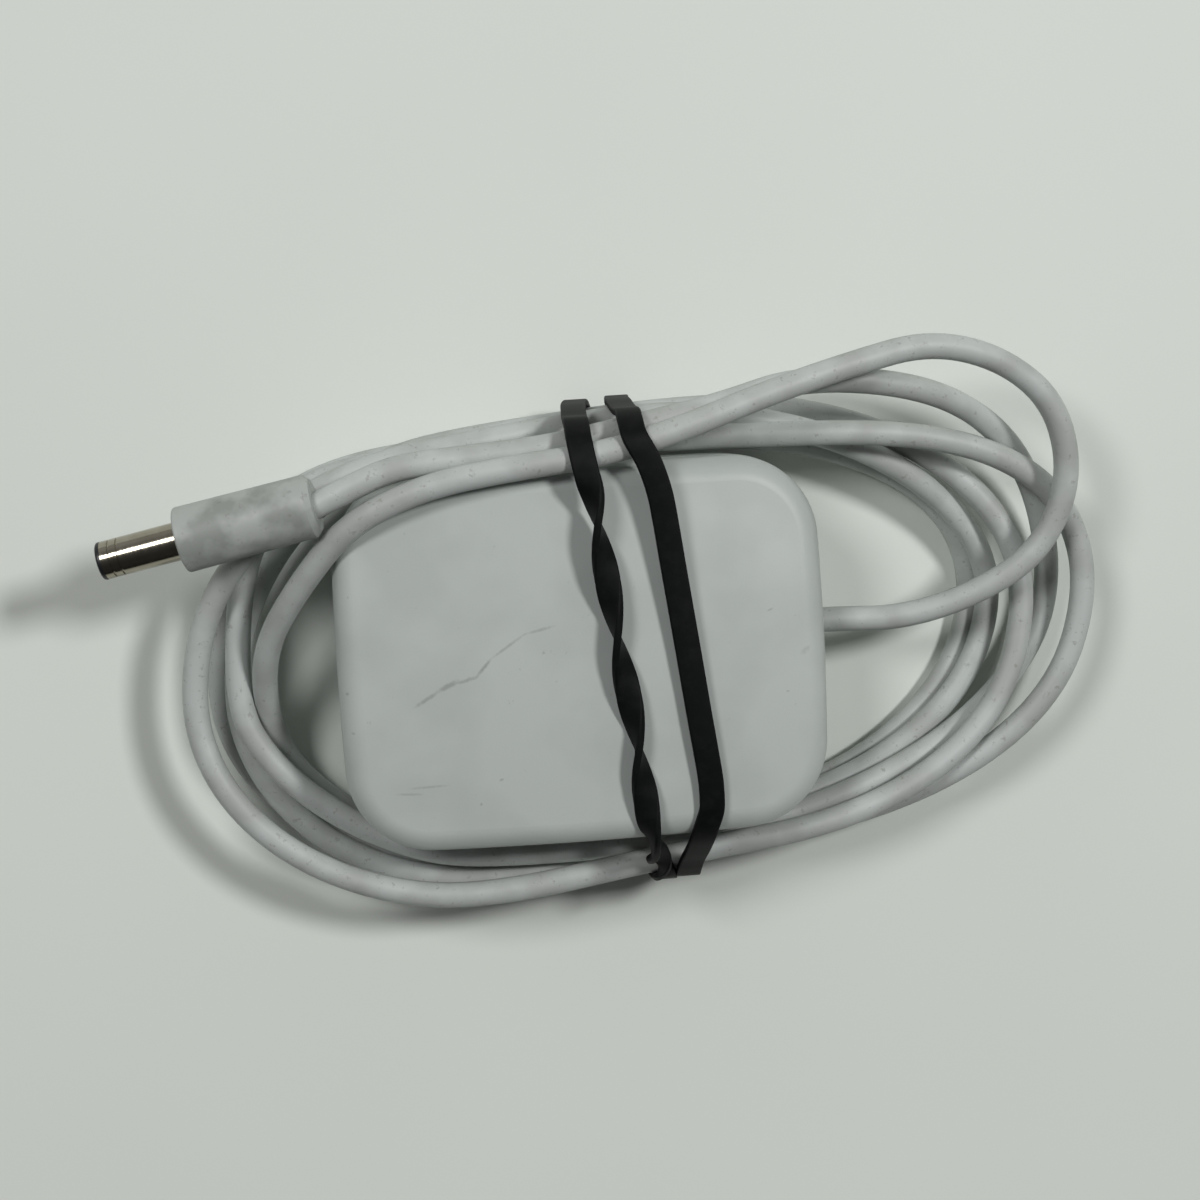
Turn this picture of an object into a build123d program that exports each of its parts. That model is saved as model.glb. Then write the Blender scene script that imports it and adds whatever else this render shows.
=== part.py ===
from build123d import *
import math
import os

os.makedirs("parts", exist_ok=True)

# Plug-in mains adapter for a mesh wifi node, lying on its back with its output cord wound round it.
# Frame: origin at the middle of the casing, on the rear plateau that faces the wall outlet.
# +X runs towards the cord exit, +Y across the casing, +Z out of the front face. Millimetres.

# Casing
casing_length = 62.0
casing_width = 48.0
casing_height = 28.0
corner_radius = 11.0
end_bow = 0.6  # how far the two short sides bulge outwards
side_bow = 0.3  # the same for the two long sides
wall = 2.0
dome_radius = 220.0  # gentle crown of the front face
face_edge_radius = 3.3
rear_edge_radius = 2.0
rear_draft = 2.2  # degrees, the rear shell narrows towards the outlet
front_cover_depth = 8.0  # from the crown down to the parting line
parting_chamfer = 0.3
lip_height = 1.4
lip_thickness = 0.9
lip_gap = 0.1

# Raised plateau at the rear, which meets the outlet and stands on the table
plateau_height = 1.5
plateau_end_margin = 4.0  # from the casing's left end
plateau_past_hinge = 6.5
plateau_width = 24.0
plateau_corner = 4.0
plateau_chamfer = 0.5

# Folding mains blades, 1-15 pattern
blade_spacing = 12.7  # centre to centre
blade_thickness = 1.5
blade_width = 6.35
blade_reach = 17.0  # beyond the rear plateau when opened out
blade_hole_radius = 1.55
blade_hole_setback = 5.2  # hole centre from the blade tip
blade_tip_chamfer = 1.2
hinge_from_end = 28.0  # hinge axis from the casing's left end
hinge_height = 3.475
hub_radius = 3.3
hub_gap = 0.3
trunnion_radius = 1.6
trunnion_length = 5.1
bearing_gap = 0.05
slot_gap = 0.25  # each side of a blade
tip_gap = 0.3
finger_notch_length = 6.2
finger_notch_width = 19.0
finger_notch_depth = 2.8

# Blade housing inside the rear shell, and the retainer that closes it
housing_margin = 1.2
housing_height = 7.2
retainer_thickness = 1.2
retainer_gap = 0.05
stake_radius = 0.9
stake_head = 0.5
stake_setbacks = (17.0, 9.0)  # of the paired and the single stake, from the hinge axis
stake_spread = 3.5

# Spring contacts that press on the blades
contact_thickness = 0.4
contact_width = 3.0
contact_gap = 0.1
contact_window = 2.2  # along Y
contact_tip_height = 5.7

# Circuit board and the posts that hold it
board_bottom = 9.6
board_thickness = 1.6
board_margin = 1.2  # from the inside of the wall at the parting line
post_inset = 7.5  # from the casing's sides
rear_post_radius = 2.6
front_post_radius = 2.3
post_pin_radius = 1.0
post_pin_rise = 2.0
post_pin_gap = 0.15
lead_pin_radius = 0.35
lead_pin_gap = 0.1
lead_pin_stub = 1.0  # left standing under the board

# Where the components stand, as shares of the casing's half length and half width
stations = {
    "mains_fuse": (-0.72, 0.25),
    "surge_varistor": (-0.72, -0.2),
    "x_capacitor": (-0.355, 0.66),
    "line_choke": (-0.43, -0.54),
    "bridge_rectifier": (-0.4, 0.19),
    "switching_controller": (-0.4, -0.15),
    "bulk_capacitor_1": (-0.08, -0.625),
    "bulk_capacitor_2": (0.226, -0.625),
    "transformer": (0.161, 0.1),
    "y_capacitor": (0.084, 0.633),
    "optocoupler": (0.33, 0.65),
    "output_rectifier": (0.503, -0.708),
    "output_capacitor_1": (0.613, -0.383),
    "output_capacitor_2": (0.613, 0.43),
    "output_choke": (0.6, 0.058),
}

# Components: plan size, then height or the gap left under the front cover, and lead pitch
fuse_radius = 4.1
fuse_height = 8.0
fuse_pitch = 5.0
varistor_radius = 5.0
varistor_thickness = 4.0
film_size = (13.0, 6.0)
film_gap = 2.8
film_pitch = 10.0
line_choke_radius = 5.4
line_choke_gap = 3.8
line_choke_pitch = 6.0
bridge_size = (8.6, 6.4)
bridge_height = 3.0
bridge_pitch = (5.0, 4.0)
controller_size = (5.0, 4.0)
controller_height = 1.6
controller_pitch = (3.8, 2.6)
bulk_can_radius = 4.2
bulk_can_gap = 1.6
can_pitch = 3.5
can_edge = 0.6
y_capacitor_radius = 3.2
y_capacitor_thickness = 2.4
optocoupler_size = (4.6, 6.4)
optocoupler_height = 3.4
optocoupler_pitch = (2.5, 5.0)
output_rectifier_size = (6.8, 4.6)
output_rectifier_height = 2.3
output_rectifier_pitch = 5.0
output_can_radius = 4.0
output_can_gap = 2.8
output_choke_radius = 3.2
output_choke_height = 6.5
output_choke_pitch = 4.0
component_edge = 0.4
disc_lift = 0.5  # of a coated disc above the board

# Transformer: a bobbin on the board, the winding on it and an E core round both
bobbin_length = 14.0
bobbin_width = 12.5
bobbin_base = 1.5
bobbin_flange = 0.8
bobbin_wall = 0.5
bobbin_pin_inset = 1.0
core_leg_radius = 2.4
core_length = 16.0
core_depth = 5.4
core_yoke = 2.2
core_top_gap = 1.9
core_gap = 0.1
winding_radius = 4.6

# Insulating barrier between the mains side and the output side
barrier_thickness = 0.5
barrier_low_inset = 13.5  # from the casing's long sides
barrier_high_inset = 6.0
barrier_gap = 2.8

# Two insulated leads from the end of the cord down to the board
lead_wire_radius = 0.5
lead_wire_offset = 0.75  # each side of the cord's middle
lead_wire_drop = 2.2
lead_wire_bend = 1.0

# Output cord, its grommet and its barrel plug
cord_diameter = 3.3
cord_exit_y = 1.0
cord_exit_height = 13.2
cord_start_inset = 4.6  # the cord's inner end, from the casing's right end
grommet_hole_radius = 2.5
grommet_gap = 0.05
grommet_flange_radius = 4.0
grommet_flange_thickness = 1.8
grommet_proud = 0.25
plug_barrel_radius = 2.4
plug_barrel_length = 9.9
plug_stem_radius = 2.2  # of the barrel's root, held in the housing
plug_sleeve_radius = 1.9  # inside of the barrel
plug_seat_depth = 5.0
plug_groove_depth = 0.2
plug_groove_width = 0.25
plug_groove_spots = (1.0, 2.1)  # from the barrel's end
plug_ring_length = 0.6  # black insulator at the tip of the barrel
plug_bore_radius = 0.85
plug_bore_depth = 9.0
plug_contact_length = 6.5
plug_contact_wall = 0.2
plug_housing_length = 17.3
plug_housing_radius = 4.15
plug_housing_rear_radius = 4.0
plug_rim_chamfer = 0.7
plug_housing_edge = 0.3
plug_heading = 191.8  # degrees in plan
plug_droop = 7.5  # degrees below level

# Hank of cord round the casing: how far its turns reach beyond the casing, and how high they lie
hank_right_reach = 41.1
hank_right_room = 22.4  # open space inside the right-hand loop
hank_left_reach = 21.2
hank_left_room = 10.8
hank_top_reach = 10.4
hank_bottom_reach = 12.4
hank_clearance = 0.35  # between the casing and the innermost turns
hank_right_height = 10.2
hank_left_height = 13.2
hank_bottom_height = 12.4
hank_crown_gap = 0.6  # from the top of the upper bundle to the crown of the casing
hank_top_underside = 7.2
hank_slope = 3.0  # drop over the outer edge of a loop
hank_shoulder = 4.0  # drop over the outer edge of a bundle
cross_right = 3.0  # where the turns reach furthest right
cross_left = -5.0  # where they reach furthest left
right_low = 12.0  # where each loop's curve meets the straight along the casing
right_high = 30.0
left_high = -12.0
left_low = -14.0
inner_right_high = 12.0  # the inside of the hank keeps straight for longer
inner_left_high = -20.0

# Flat rubber band that ties the hank over the front face
band_width = 3.2
band_thickness = 1.0
band_fillet = 2.4
band_edge = 0.2
band_gap = 0.3  # under the rear shell
band_relief_depth = 1.4
band_relief_flat = (-2.0, 16.0)

half_length = casing_length / 2
half_width = casing_width / 2
parting = casing_height - front_cover_depth
rear_face = plateau_height
board_top = board_bottom + board_thickness
headroom = casing_height - wall - board_top  # from the board to the inside of the crown
cord_radius = cord_diameter / 2
cord_start_x = half_length - cord_start_inset
hinge_x = hinge_from_end - half_length
plateau_left = plateau_end_margin - half_length
plateau_right = hinge_x + plateau_past_hinge
post_x = half_length - post_inset
post_y = half_width - post_inset
hank_right_outer = half_length + hank_right_reach
hank_right_inner = half_length + hank_right_room
hank_left_outer = -half_length - hank_left_reach
hank_left_inner = -half_length - hank_left_room
hank_top_outer = half_width + hank_top_reach
hank_bottom_outer = half_width + hank_bottom_reach
hank_inner = half_width + hank_clearance
hank_top_height = casing_height - hank_crown_gap


def outline(inset):
    """Flat outline of the casing, four bowed sides with round corners, moved inwards by inset."""
    x = half_length - inset
    y = half_width - inset
    with BuildSketch() as flat:
        with BuildLine():
            ThreePointArc((x - end_bow, side_bow - y), (x, 0), (x - end_bow, y - side_bow))
            ThreePointArc((x - end_bow, y - side_bow), (0, y), (end_bow - x, y - side_bow))
            ThreePointArc((end_bow - x, y - side_bow), (-x, 0), (end_bow - x, side_bow - y))
            ThreePointArc((end_bow - x, side_bow - y), (0, -y), (x - end_bow, side_bow - y))
        make_face()
        fillet(flat.vertices(), corner_radius - inset)
    return flat.sketch


def draft_at(height):
    """How far the rear shell has drawn in at a height below the parting line."""
    return (parting - height) * math.tan(math.radians(rear_draft))


def save(piece, name):
    """Labels a finished piece and writes it under its node name."""
    piece.part.label = name
    export_step(piece.part, f"parts/{name}.step")


def crown(depth):
    """The crowned front face as a large ball, its skin depth below the outside of the face."""
    Sphere(dome_radius - depth, rotation=(90, 0, 0), mode=Mode.INTERSECT)


post_spots = [(x, y) for x in (-post_x, post_x) for y in (-post_y, post_y)]

# Derived places of the blade mechanism
blade_y = blade_spacing / 2
blade_outer = blade_y + blade_thickness / 2
blade_inner = blade_y - blade_thickness / 2
blade_length = blade_reach + hinge_height  # from the hinge axis to the tip
blade_sweep = math.hypot(blade_length, blade_width / 2)
slot_end = hinge_x - blade_sweep - tip_gap
well_radius = hub_radius + hub_gap
trunnion_end = blade_outer + trunnion_length
housing_left = slot_end - housing_margin
housing_right = hinge_x + well_radius + housing_margin
housing_hinge_left = hinge_x - well_radius - housing_margin
housing_half = trunnion_end + hub_gap + housing_margin
housing_slot_half = blade_outer + slot_gap + housing_margin
stake_spots = [
    (hinge_x - stake_setbacks[0], stake_spread),
    (hinge_x - stake_setbacks[0], -stake_spread),
    (hinge_x - stake_setbacks[1], 0.0),
]
window_middle = blade_outer + contact_gap + contact_window / 2

# Front cover: crowned shell with a rebate for the rear cover's lip and four posts over the board
with BuildPart() as front_cover:
    with BuildSketch(Plane.XY.offset(parting)):
        add(outline(parting_chamfer))
    with BuildSketch(Plane.XY.offset(parting + parting_chamfer)):
        add(outline(0))
    loft(ruled=True)
    with BuildSketch(Plane.XY.offset(parting + parting_chamfer)):
        add(outline(0))
    extrude(amount=front_cover_depth)
    with Locations((0, 0, casing_height - dome_radius)):
        crown(0)
    fillet(front_cover.faces().sort_by(Axis.Z)[-1].edges(), face_edge_radius)

with BuildPart() as front_hollow:
    with BuildSketch(Plane.XY.offset(parting)):
        add(outline(wall))
    extrude(amount=front_cover_depth)
    with Locations((0, 0, casing_height - dome_radius)):
        crown(wall)
    fillet(front_hollow.faces().sort_by(Axis.Z)[-1].edges(), face_edge_radius - wall)

front_ceiling = casing_height - wall - (post_x**2 + post_y**2) / (2 * dome_radius)
with front_cover:
    add(front_hollow.part, mode=Mode.SUBTRACT)
    with BuildSketch(Plane.XY.offset(parting)):
        add(outline(wall - lip_thickness - lip_gap))
    extrude(amount=lip_height + lip_gap, mode=Mode.SUBTRACT)
    with BuildSketch(Plane.XY.offset(board_top)):
        with Locations(*post_spots):
            Circle(front_post_radius)
    extrude(amount=front_ceiling + wall / 2 - board_top)
    with BuildSketch(Plane.XY.offset(board_top)):
        with Locations(*post_spots):
            Circle(post_pin_radius + post_pin_gap)
    extrude(amount=post_pin_rise + post_pin_gap, mode=Mode.SUBTRACT)
save(front_cover, "front_cover")

# Rear cover: drafted tub with the plateau, the blade housing, four board posts and the cord hole
with BuildPart() as rear_cover:
    with BuildSketch(Plane.XY.offset(rear_face)):
        add(outline(draft_at(rear_face)))
    with BuildSketch(Plane.XY.offset(parting - parting_chamfer)):
        add(outline(draft_at(parting - parting_chamfer)))
    loft(ruled=True)
    fillet(rear_cover.faces().sort_by(Axis.Z)[0].edges(), rear_edge_radius)
    with BuildSketch(Plane.XY.offset(parting - parting_chamfer)):
        add(outline(draft_at(parting - parting_chamfer)))
    with BuildSketch(Plane.XY.offset(parting)):
        add(outline(parting_chamfer))
    loft(ruled=True)
    with BuildSketch(Plane.XY.offset(rear_face + wall)):
        add(outline(wall + draft_at(rear_face + wall)))
    with BuildSketch(Plane.XY.offset(parting)):
        add(outline(wall))
    loft(ruled=True, mode=Mode.SUBTRACT)
    with BuildSketch(Plane.XY.offset(parting - parting_chamfer)):
        add(outline(wall - lip_thickness))
        add(outline(wall), mode=Mode.SUBTRACT)
    extrude(amount=lip_height + parting_chamfer)

with BuildPart() as plateau:
    with BuildSketch():
        with Locations(((plateau_left + plateau_right) / 2, 0)):
            RectangleRounded(plateau_right - plateau_left, plateau_width, plateau_corner)
    extrude(amount=rear_face + wall / 2)
    chamfer(plateau.faces().sort_by(Axis.Z)[0].edges(), plateau_chamfer)


def housing_outline():
    """T shape of the blade housing: narrow along the slots, wide across the trunnions."""
    with BuildSketch() as flat:
        with Locations(((housing_left + housing_right) / 2, 0)):
            Rectangle(housing_right - housing_left, 2 * housing_slot_half)
        with Locations(((housing_hinge_left + housing_right) / 2, 0)):
            Rectangle(housing_right - housing_hinge_left, 2 * housing_half)
    return flat.sketch


with rear_cover:
    add(plateau.part)
    with BuildSketch(Plane.XY.offset(rear_face + wall / 2)):
        add(housing_outline())
    extrude(amount=housing_height - rear_face - wall / 2)
    with BuildSketch(Plane.XY.offset(housing_height)):
        with Locations(*stake_spots):
            Circle(stake_radius)
    extrude(amount=retainer_thickness + stake_head)
    with BuildSketch(Plane.XY.offset(rear_face + wall / 2)):
        with Locations(*post_spots):
            Circle(rear_post_radius)
    extrude(amount=board_bottom - rear_face - wall / 2)
    with BuildSketch(Plane.XY.offset(board_bottom)):
        with Locations(*post_spots):
            Circle(post_pin_radius)
    extrude(amount=board_thickness + post_pin_rise)
    # Slots for the folded blades, open at the rear and towards the retainer
    with BuildSketch():
        with Locations(((slot_end + hinge_x) / 2, blade_y), ((slot_end + hinge_x) / 2, -blade_y)):
            Rectangle(hinge_x - slot_end, blade_thickness + 2 * slot_gap)
        with Locations((hinge_x, 0)):
            Rectangle(2 * well_radius, 2 * (blade_outer + slot_gap))
    extrude(amount=housing_height, mode=Mode.SUBTRACT)
    # Bearing channels for the trunnions, round at the bottom and open upwards
    with BuildSketch(Plane.XZ.offset(-trunnion_end - hub_gap)):
        with Locations((hinge_x, hinge_height)):
            Circle(trunnion_radius + bearing_gap)
        with Locations((hinge_x, (hinge_height + housing_height) / 2)):
            Rectangle(2 * (trunnion_radius + bearing_gap), housing_height - hinge_height)
    extrude(amount=2 * (trunnion_end + hub_gap), mode=Mode.SUBTRACT)
    # Pockets for the spring contacts above the trunnions
    with BuildSketch(Plane.XY.offset(hinge_height)):
        with Locations((hinge_x, window_middle), (hinge_x, -window_middle)):
            Rectangle(contact_width + 2 * hub_gap, contact_window + 2 * contact_gap)
    extrude(amount=housing_height - hinge_height, mode=Mode.SUBTRACT)
    # Notch that lets a finger reach the blade tips
    with BuildSketch():
        with Locations((slot_end + finger_notch_length / 2, 0)):
            RectangleRounded(finger_notch_length, finger_notch_width, finger_notch_length / 3)
    extrude(amount=finger_notch_depth, mode=Mode.SUBTRACT)
    # Hole for the cord grommet in the right-hand wall
    with BuildSketch(Plane.YZ.offset(half_length - 3 * wall)):
        with Locations((cord_exit_y, cord_exit_height)):
            Circle(grommet_hole_radius)
    extrude(amount=4 * wall, mode=Mode.SUBTRACT)
save(rear_cover, "rear_cover")

# Retainer plate over the blade housing, staked down, with legs that keep the trunnions seated
leg_inner = window_middle + contact_window / 2 + contact_gap + retainer_gap
leg_middle = (leg_inner + trunnion_end) / 2
with BuildPart() as blade_retainer:
    with BuildSketch(Plane.XY.offset(housing_height)):
        add(housing_outline())
    extrude(amount=retainer_thickness)
    with BuildSketch(Plane.XY.offset(housing_height)):
        with Locations((hinge_x, leg_middle), (hinge_x, -leg_middle)):
            Rectangle(2 * trunnion_radius, trunnion_end - leg_inner)
    extrude(amount=hinge_height + trunnion_radius + bearing_gap - housing_height)
    with BuildSketch(Plane.XY.offset(housing_height)):
        with Locations((hinge_x, window_middle), (hinge_x, -window_middle)):
            Rectangle(contact_width + 2 * hub_gap, contact_window)
        with Locations(*stake_spots):
            Circle(stake_radius + retainer_gap)
    extrude(amount=retainer_thickness, mode=Mode.SUBTRACT)
save(blade_retainer, "blade_retainer")

# Hub that carries both blades, turning on its two trunnions
with BuildPart() as blade_hub:
    with BuildSketch(Plane.XZ.offset(-blade_inner)):
        with Locations((hinge_x, hinge_height)):
            Circle(hub_radius)
    extrude(amount=2 * blade_inner)
    with BuildSketch(Plane.XZ.offset(-trunnion_end)):
        with Locations((hinge_x, hinge_height)):
            Circle(trunnion_radius)
    extrude(amount=2 * trunnion_end)
save(blade_hub, "blade_hub")


def make_blade(side):
    """One flat blade, folded along -X, with a round tail about the hinge axis."""
    with BuildPart() as blade:
        with BuildSketch(Plane.XZ.offset(-side * blade_y)):
            with Locations((hinge_x, hinge_height)):
                Circle(blade_width / 2)
            with Locations((hinge_x - blade_length / 2, hinge_height)):
                Rectangle(blade_length, blade_width)
            with Locations((hinge_x, hinge_height)):
                Circle(trunnion_radius, mode=Mode.SUBTRACT)
            with Locations((hinge_x - blade_length + blade_hole_setback, hinge_height)):
                Circle(blade_hole_radius, mode=Mode.SUBTRACT)
        extrude(amount=blade_thickness / 2, both=True)
        tip = blade.faces().sort_by(Axis.X)[0]
        chamfer(tip.edges().filter_by(Axis.Y), blade_tip_chamfer)
    return blade


blade_live = make_blade(1)
save(blade_live, "blade_live")
blade_neutral = make_blade(-1)
save(blade_neutral, "blade_neutral")


def make_contact(side):
    """Leaf spring from the underside of the board through its window to the face of the blade."""
    near = side * (blade_outer + contact_gap)
    far = side * (blade_outer + contact_gap + contact_window - 2 * contact_gap - contact_thickness)
    bend = housing_height
    step = side * contact_thickness
    with BuildPart() as contact:
        with BuildSketch(Plane.YZ.offset(hinge_x)):
            with BuildLine():
                Polyline(
                    (near, contact_tip_height),
                    (near, bend - contact_thickness),
                    (far, bend + retainer_thickness / 2),
                    (far, board_bottom),
                    (far + step, board_bottom),
                    (far + step, bend + retainer_thickness / 2 - contact_thickness / 2),
                    (near + step, bend - 1.5 * contact_thickness),
                    (near + step, contact_tip_height),
                    close=True,
                )
            make_face()
        extrude(amount=contact_width / 2, both=True)
    return contact


contact_live = make_contact(1)
save(contact_live, "contact_spring_live")
contact_neutral = make_contact(-1)
save(contact_neutral, "contact_spring_neutral")

# Components on the board, each standing on it with its wire leads through it
pin_spots = []


def box_at(name, size):
    """Rectangular footprint of a component where it stands."""
    with BuildSketch() as flat:
        with Locations(station(name)):
            Rectangle(*size)
    return flat.sketch


def round_at(name, radius):
    """Round footprint of a component where it stands."""
    with BuildSketch() as flat:
        with Locations(station(name)):
            Circle(radius)
    return flat.sketch


def station(name):
    """Where a component stands on the board."""
    along, across = stations[name]
    return half_length * along, half_width * across


def board_component(name, footprint, height, pins, edge=component_edge):
    """An upright component with its top edge broken and its leads left a little long under the board."""
    pin_spots.extend(pins)
    with BuildPart() as component:
        with BuildSketch(Plane.XY.offset(board_top)):
            add(footprint)
        extrude(amount=height)
        chamfer(component.faces().sort_by(Axis.Z)[-1].edges(), edge)
        with BuildSketch(Plane.XY.offset(board_bottom - lead_pin_stub)):
            with Locations(*pins):
                Circle(lead_pin_radius)
        extrude(amount=board_thickness + lead_pin_stub)
    save(component, name)


def side_by_side(name, spacing_x, spacing_y):
    """The two lead spots of a component, spaced about its centre."""
    x, y = station(name)
    return [(x - spacing_x / 2, y - spacing_y / 2), (x + spacing_x / 2, y + spacing_y / 2)]


def disc_component(name, radius, thickness, normal):
    """A coated disc on edge, standing just clear of the board on two leads."""
    x, y = station(name)
    facing_x = normal == "x"
    across = Plane.YZ.offset(x) if facing_x else Plane.XZ.offset(-y)
    middle = y if facing_x else x
    pins = side_by_side(name, 0, radius) if facing_x else side_by_side(name, radius, 0)
    pin_spots.extend(pins)
    with BuildPart() as disc:
        with BuildSketch(across):
            with Locations((middle, board_top + disc_lift + radius)):
                Circle(radius)
        extrude(amount=thickness / 2, both=True)
        fillet(disc.edges(), thickness / 4)
        with BuildSketch(Plane.XY.offset(board_bottom - lead_pin_stub)):
            with Locations(*pins):
                Circle(lead_pin_radius)
        extrude(amount=board_thickness + lead_pin_stub + disc_lift + radius / 3)
    save(disc, name)


board_component(
    "mains_fuse",
    round_at("mains_fuse", fuse_radius),
    fuse_height,
    side_by_side("mains_fuse", 0, fuse_pitch),
)
disc_component("surge_varistor", varistor_radius, varistor_thickness, "x")
board_component(
    "x_capacitor",
    box_at("x_capacitor", film_size),
    headroom - film_gap,
    side_by_side("x_capacitor", film_pitch, 0),
)
board_component(
    "line_choke",
    round_at("line_choke", line_choke_radius),
    headroom - line_choke_gap,
    side_by_side("line_choke", 0, line_choke_pitch),
)
board_component(
    "bridge_rectifier",
    box_at("bridge_rectifier", bridge_size),
    bridge_height,
    side_by_side("bridge_rectifier", *bridge_pitch),
)
board_component(
    "switching_controller",
    box_at("switching_controller", controller_size),
    controller_height,
    side_by_side("switching_controller", *controller_pitch),
)
for name in ("bulk_capacitor_1", "bulk_capacitor_2"):
    board_component(
        name,
        round_at(name, bulk_can_radius),
        headroom - bulk_can_gap,
        side_by_side(name, can_pitch, 0),
        can_edge,
    )
disc_component("y_capacitor", y_capacitor_radius, y_capacitor_thickness, "y")
board_component(
    "optocoupler",
    box_at("optocoupler", optocoupler_size),
    optocoupler_height,
    side_by_side("optocoupler", *optocoupler_pitch),
)
board_component(
    "output_rectifier",
    box_at("output_rectifier", output_rectifier_size),
    output_rectifier_height,
    side_by_side("output_rectifier", output_rectifier_pitch, 0),
)
for name in ("output_capacitor_1", "output_capacitor_2"):
    board_component(
        name,
        round_at(name, output_can_radius),
        headroom - output_can_gap,
        side_by_side(name, can_pitch, 0),
        can_edge,
    )
board_component(
    "output_choke",
    round_at("output_choke", output_choke_radius),
    output_choke_height,
    side_by_side("output_choke", 0, output_choke_pitch),
)

# Transformer: the core stands on the bobbin's base
transformer_x, transformer_y = station("transformer")
core_foot = board_top + bobbin_base
core_height = headroom - bobbin_base - core_top_gap
window_low = core_foot + core_yoke
window_high = core_foot + core_height - core_yoke
window_half = core_length / 2 - core_yoke

with BuildPart() as transformer_core:
    with BuildSketch(Plane.XZ.offset(-transformer_y)):
        with Locations((transformer_x, core_foot + core_height / 2)):
            Rectangle(core_length, core_height)
            Rectangle(2 * window_half, core_height - 2 * core_yoke, mode=Mode.SUBTRACT)
    extrude(amount=core_depth / 2, both=True)
    with BuildSketch(Plane.XY.offset(window_low)):
        with Locations((transformer_x, transformer_y)):
            Circle(core_leg_radius)
    extrude(amount=window_high - window_low)
save(transformer_core, "transformer_core")

tube_inner = core_leg_radius + core_gap
tube_outer = tube_inner + bobbin_wall
base_pins = [
    (transformer_x + x, transformer_y + y)
    for x in (-bobbin_length / 3, 0, bobbin_length / 3)
    for y in (bobbin_pin_inset - bobbin_width / 2, bobbin_width / 2 - bobbin_pin_inset)
]
pin_spots.extend(base_pins)
with BuildPart() as transformer_bobbin:
    with BuildSketch(Plane.XY.offset(board_top)):
        with Locations((transformer_x, transformer_y)):
            Rectangle(bobbin_length, bobbin_width)
    extrude(amount=bobbin_base)
    with BuildSketch(Plane.XY.offset(core_foot)):
        with Locations((transformer_x, transformer_y)):
            Rectangle(bobbin_length / 2, bobbin_width)
            Rectangle(bobbin_length / 2, core_depth + 2 * core_gap, mode=Mode.SUBTRACT)
    extrude(amount=core_yoke + core_gap)
    for height in (window_low + core_gap, window_high - core_gap - bobbin_flange):
        with BuildSketch(Plane.XY.offset(height)):
            with Locations((transformer_x, transformer_y)):
                Rectangle(2 * window_half - 2 * core_gap, bobbin_width)
                Circle(tube_inner, mode=Mode.SUBTRACT)
        extrude(amount=bobbin_flange)
    with BuildSketch(Plane.XY.offset(window_low + core_gap)):
        with Locations((transformer_x, transformer_y)):
            Circle(tube_outer)
            Circle(tube_inner, mode=Mode.SUBTRACT)
    extrude(amount=window_high - window_low - 2 * core_gap)
    with BuildSketch(Plane.XY.offset(board_bottom - lead_pin_stub)):
        with Locations(*base_pins):
            Circle(lead_pin_radius)
    extrude(amount=board_thickness + lead_pin_stub)
save(transformer_bobbin, "transformer_bobbin")

with BuildPart() as transformer_winding:
    with BuildSketch(Plane.XY.offset(window_low + core_gap + bobbin_flange)):
        with Locations((transformer_x, transformer_y)):
            Circle(winding_radius)
            Circle(tube_outer, mode=Mode.SUBTRACT)
    extrude(amount=window_high - window_low - 2 * core_gap - 2 * bobbin_flange)
save(transformer_winding, "transformer_winding")

# Insulating barrier, halfway between the transformer's core and the first output capacitor
core_side = transformer_x + core_length / 2
capacitor_side = station("output_capacitor_1")[0] - output_can_radius
barrier_x = (core_side + capacitor_side) / 2
barrier_low = barrier_low_inset - half_width
barrier_high = half_width - barrier_high_inset
with BuildPart() as insulation_barrier:
    with BuildSketch(Plane.XY.offset(board_top)):
        with Locations((barrier_x, (barrier_low + barrier_high) / 2)):
            Rectangle(barrier_thickness, barrier_high - barrier_low)
    extrude(amount=headroom - barrier_gap)
save(insulation_barrier, "insulation_barrier")

# Circuit board, notched round the grommet and drilled for the posts and every lead
notch_left = cord_start_x - cord_radius / 2
notch_half = grommet_flange_radius + board_margin / 2
with BuildPart() as circuit_board:
    with BuildSketch(Plane.XY.offset(board_bottom)):
        add(outline(wall + board_margin))
        with Locations(((notch_left + half_length) / 2, cord_exit_y)):
            Rectangle(half_length - notch_left, 2 * notch_half, mode=Mode.SUBTRACT)
        with Locations(*post_spots):
            Circle(post_pin_radius + post_pin_gap, mode=Mode.SUBTRACT)
        with Locations(*pin_spots):
            Circle(lead_pin_radius + lead_pin_gap, mode=Mode.SUBTRACT)
    extrude(amount=board_thickness)
save(circuit_board, "circuit_board")

# Grommet in the wall: a sleeve through the hole with a flange inside
flange_face = half_length - draft_at(cord_exit_height - grommet_flange_radius) - wall - end_bow / 4
with BuildPart() as cord_grommet:
    with BuildSketch(Plane.YZ.offset(flange_face - grommet_flange_thickness)):
        with Locations((cord_exit_y, cord_exit_height)):
            Circle(grommet_flange_radius)
            Circle(cord_radius, mode=Mode.SUBTRACT)
    extrude(amount=grommet_flange_thickness)
    with BuildSketch(Plane.YZ.offset(flange_face)):
        with Locations((cord_exit_y, cord_exit_height)):
            Circle(grommet_hole_radius - grommet_gap)
            Circle(cord_radius, mode=Mode.SUBTRACT)
    extrude(amount=half_length - draft_at(cord_exit_height) + grommet_proud - flange_face)
save(cord_grommet, "cord_grommet")

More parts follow.
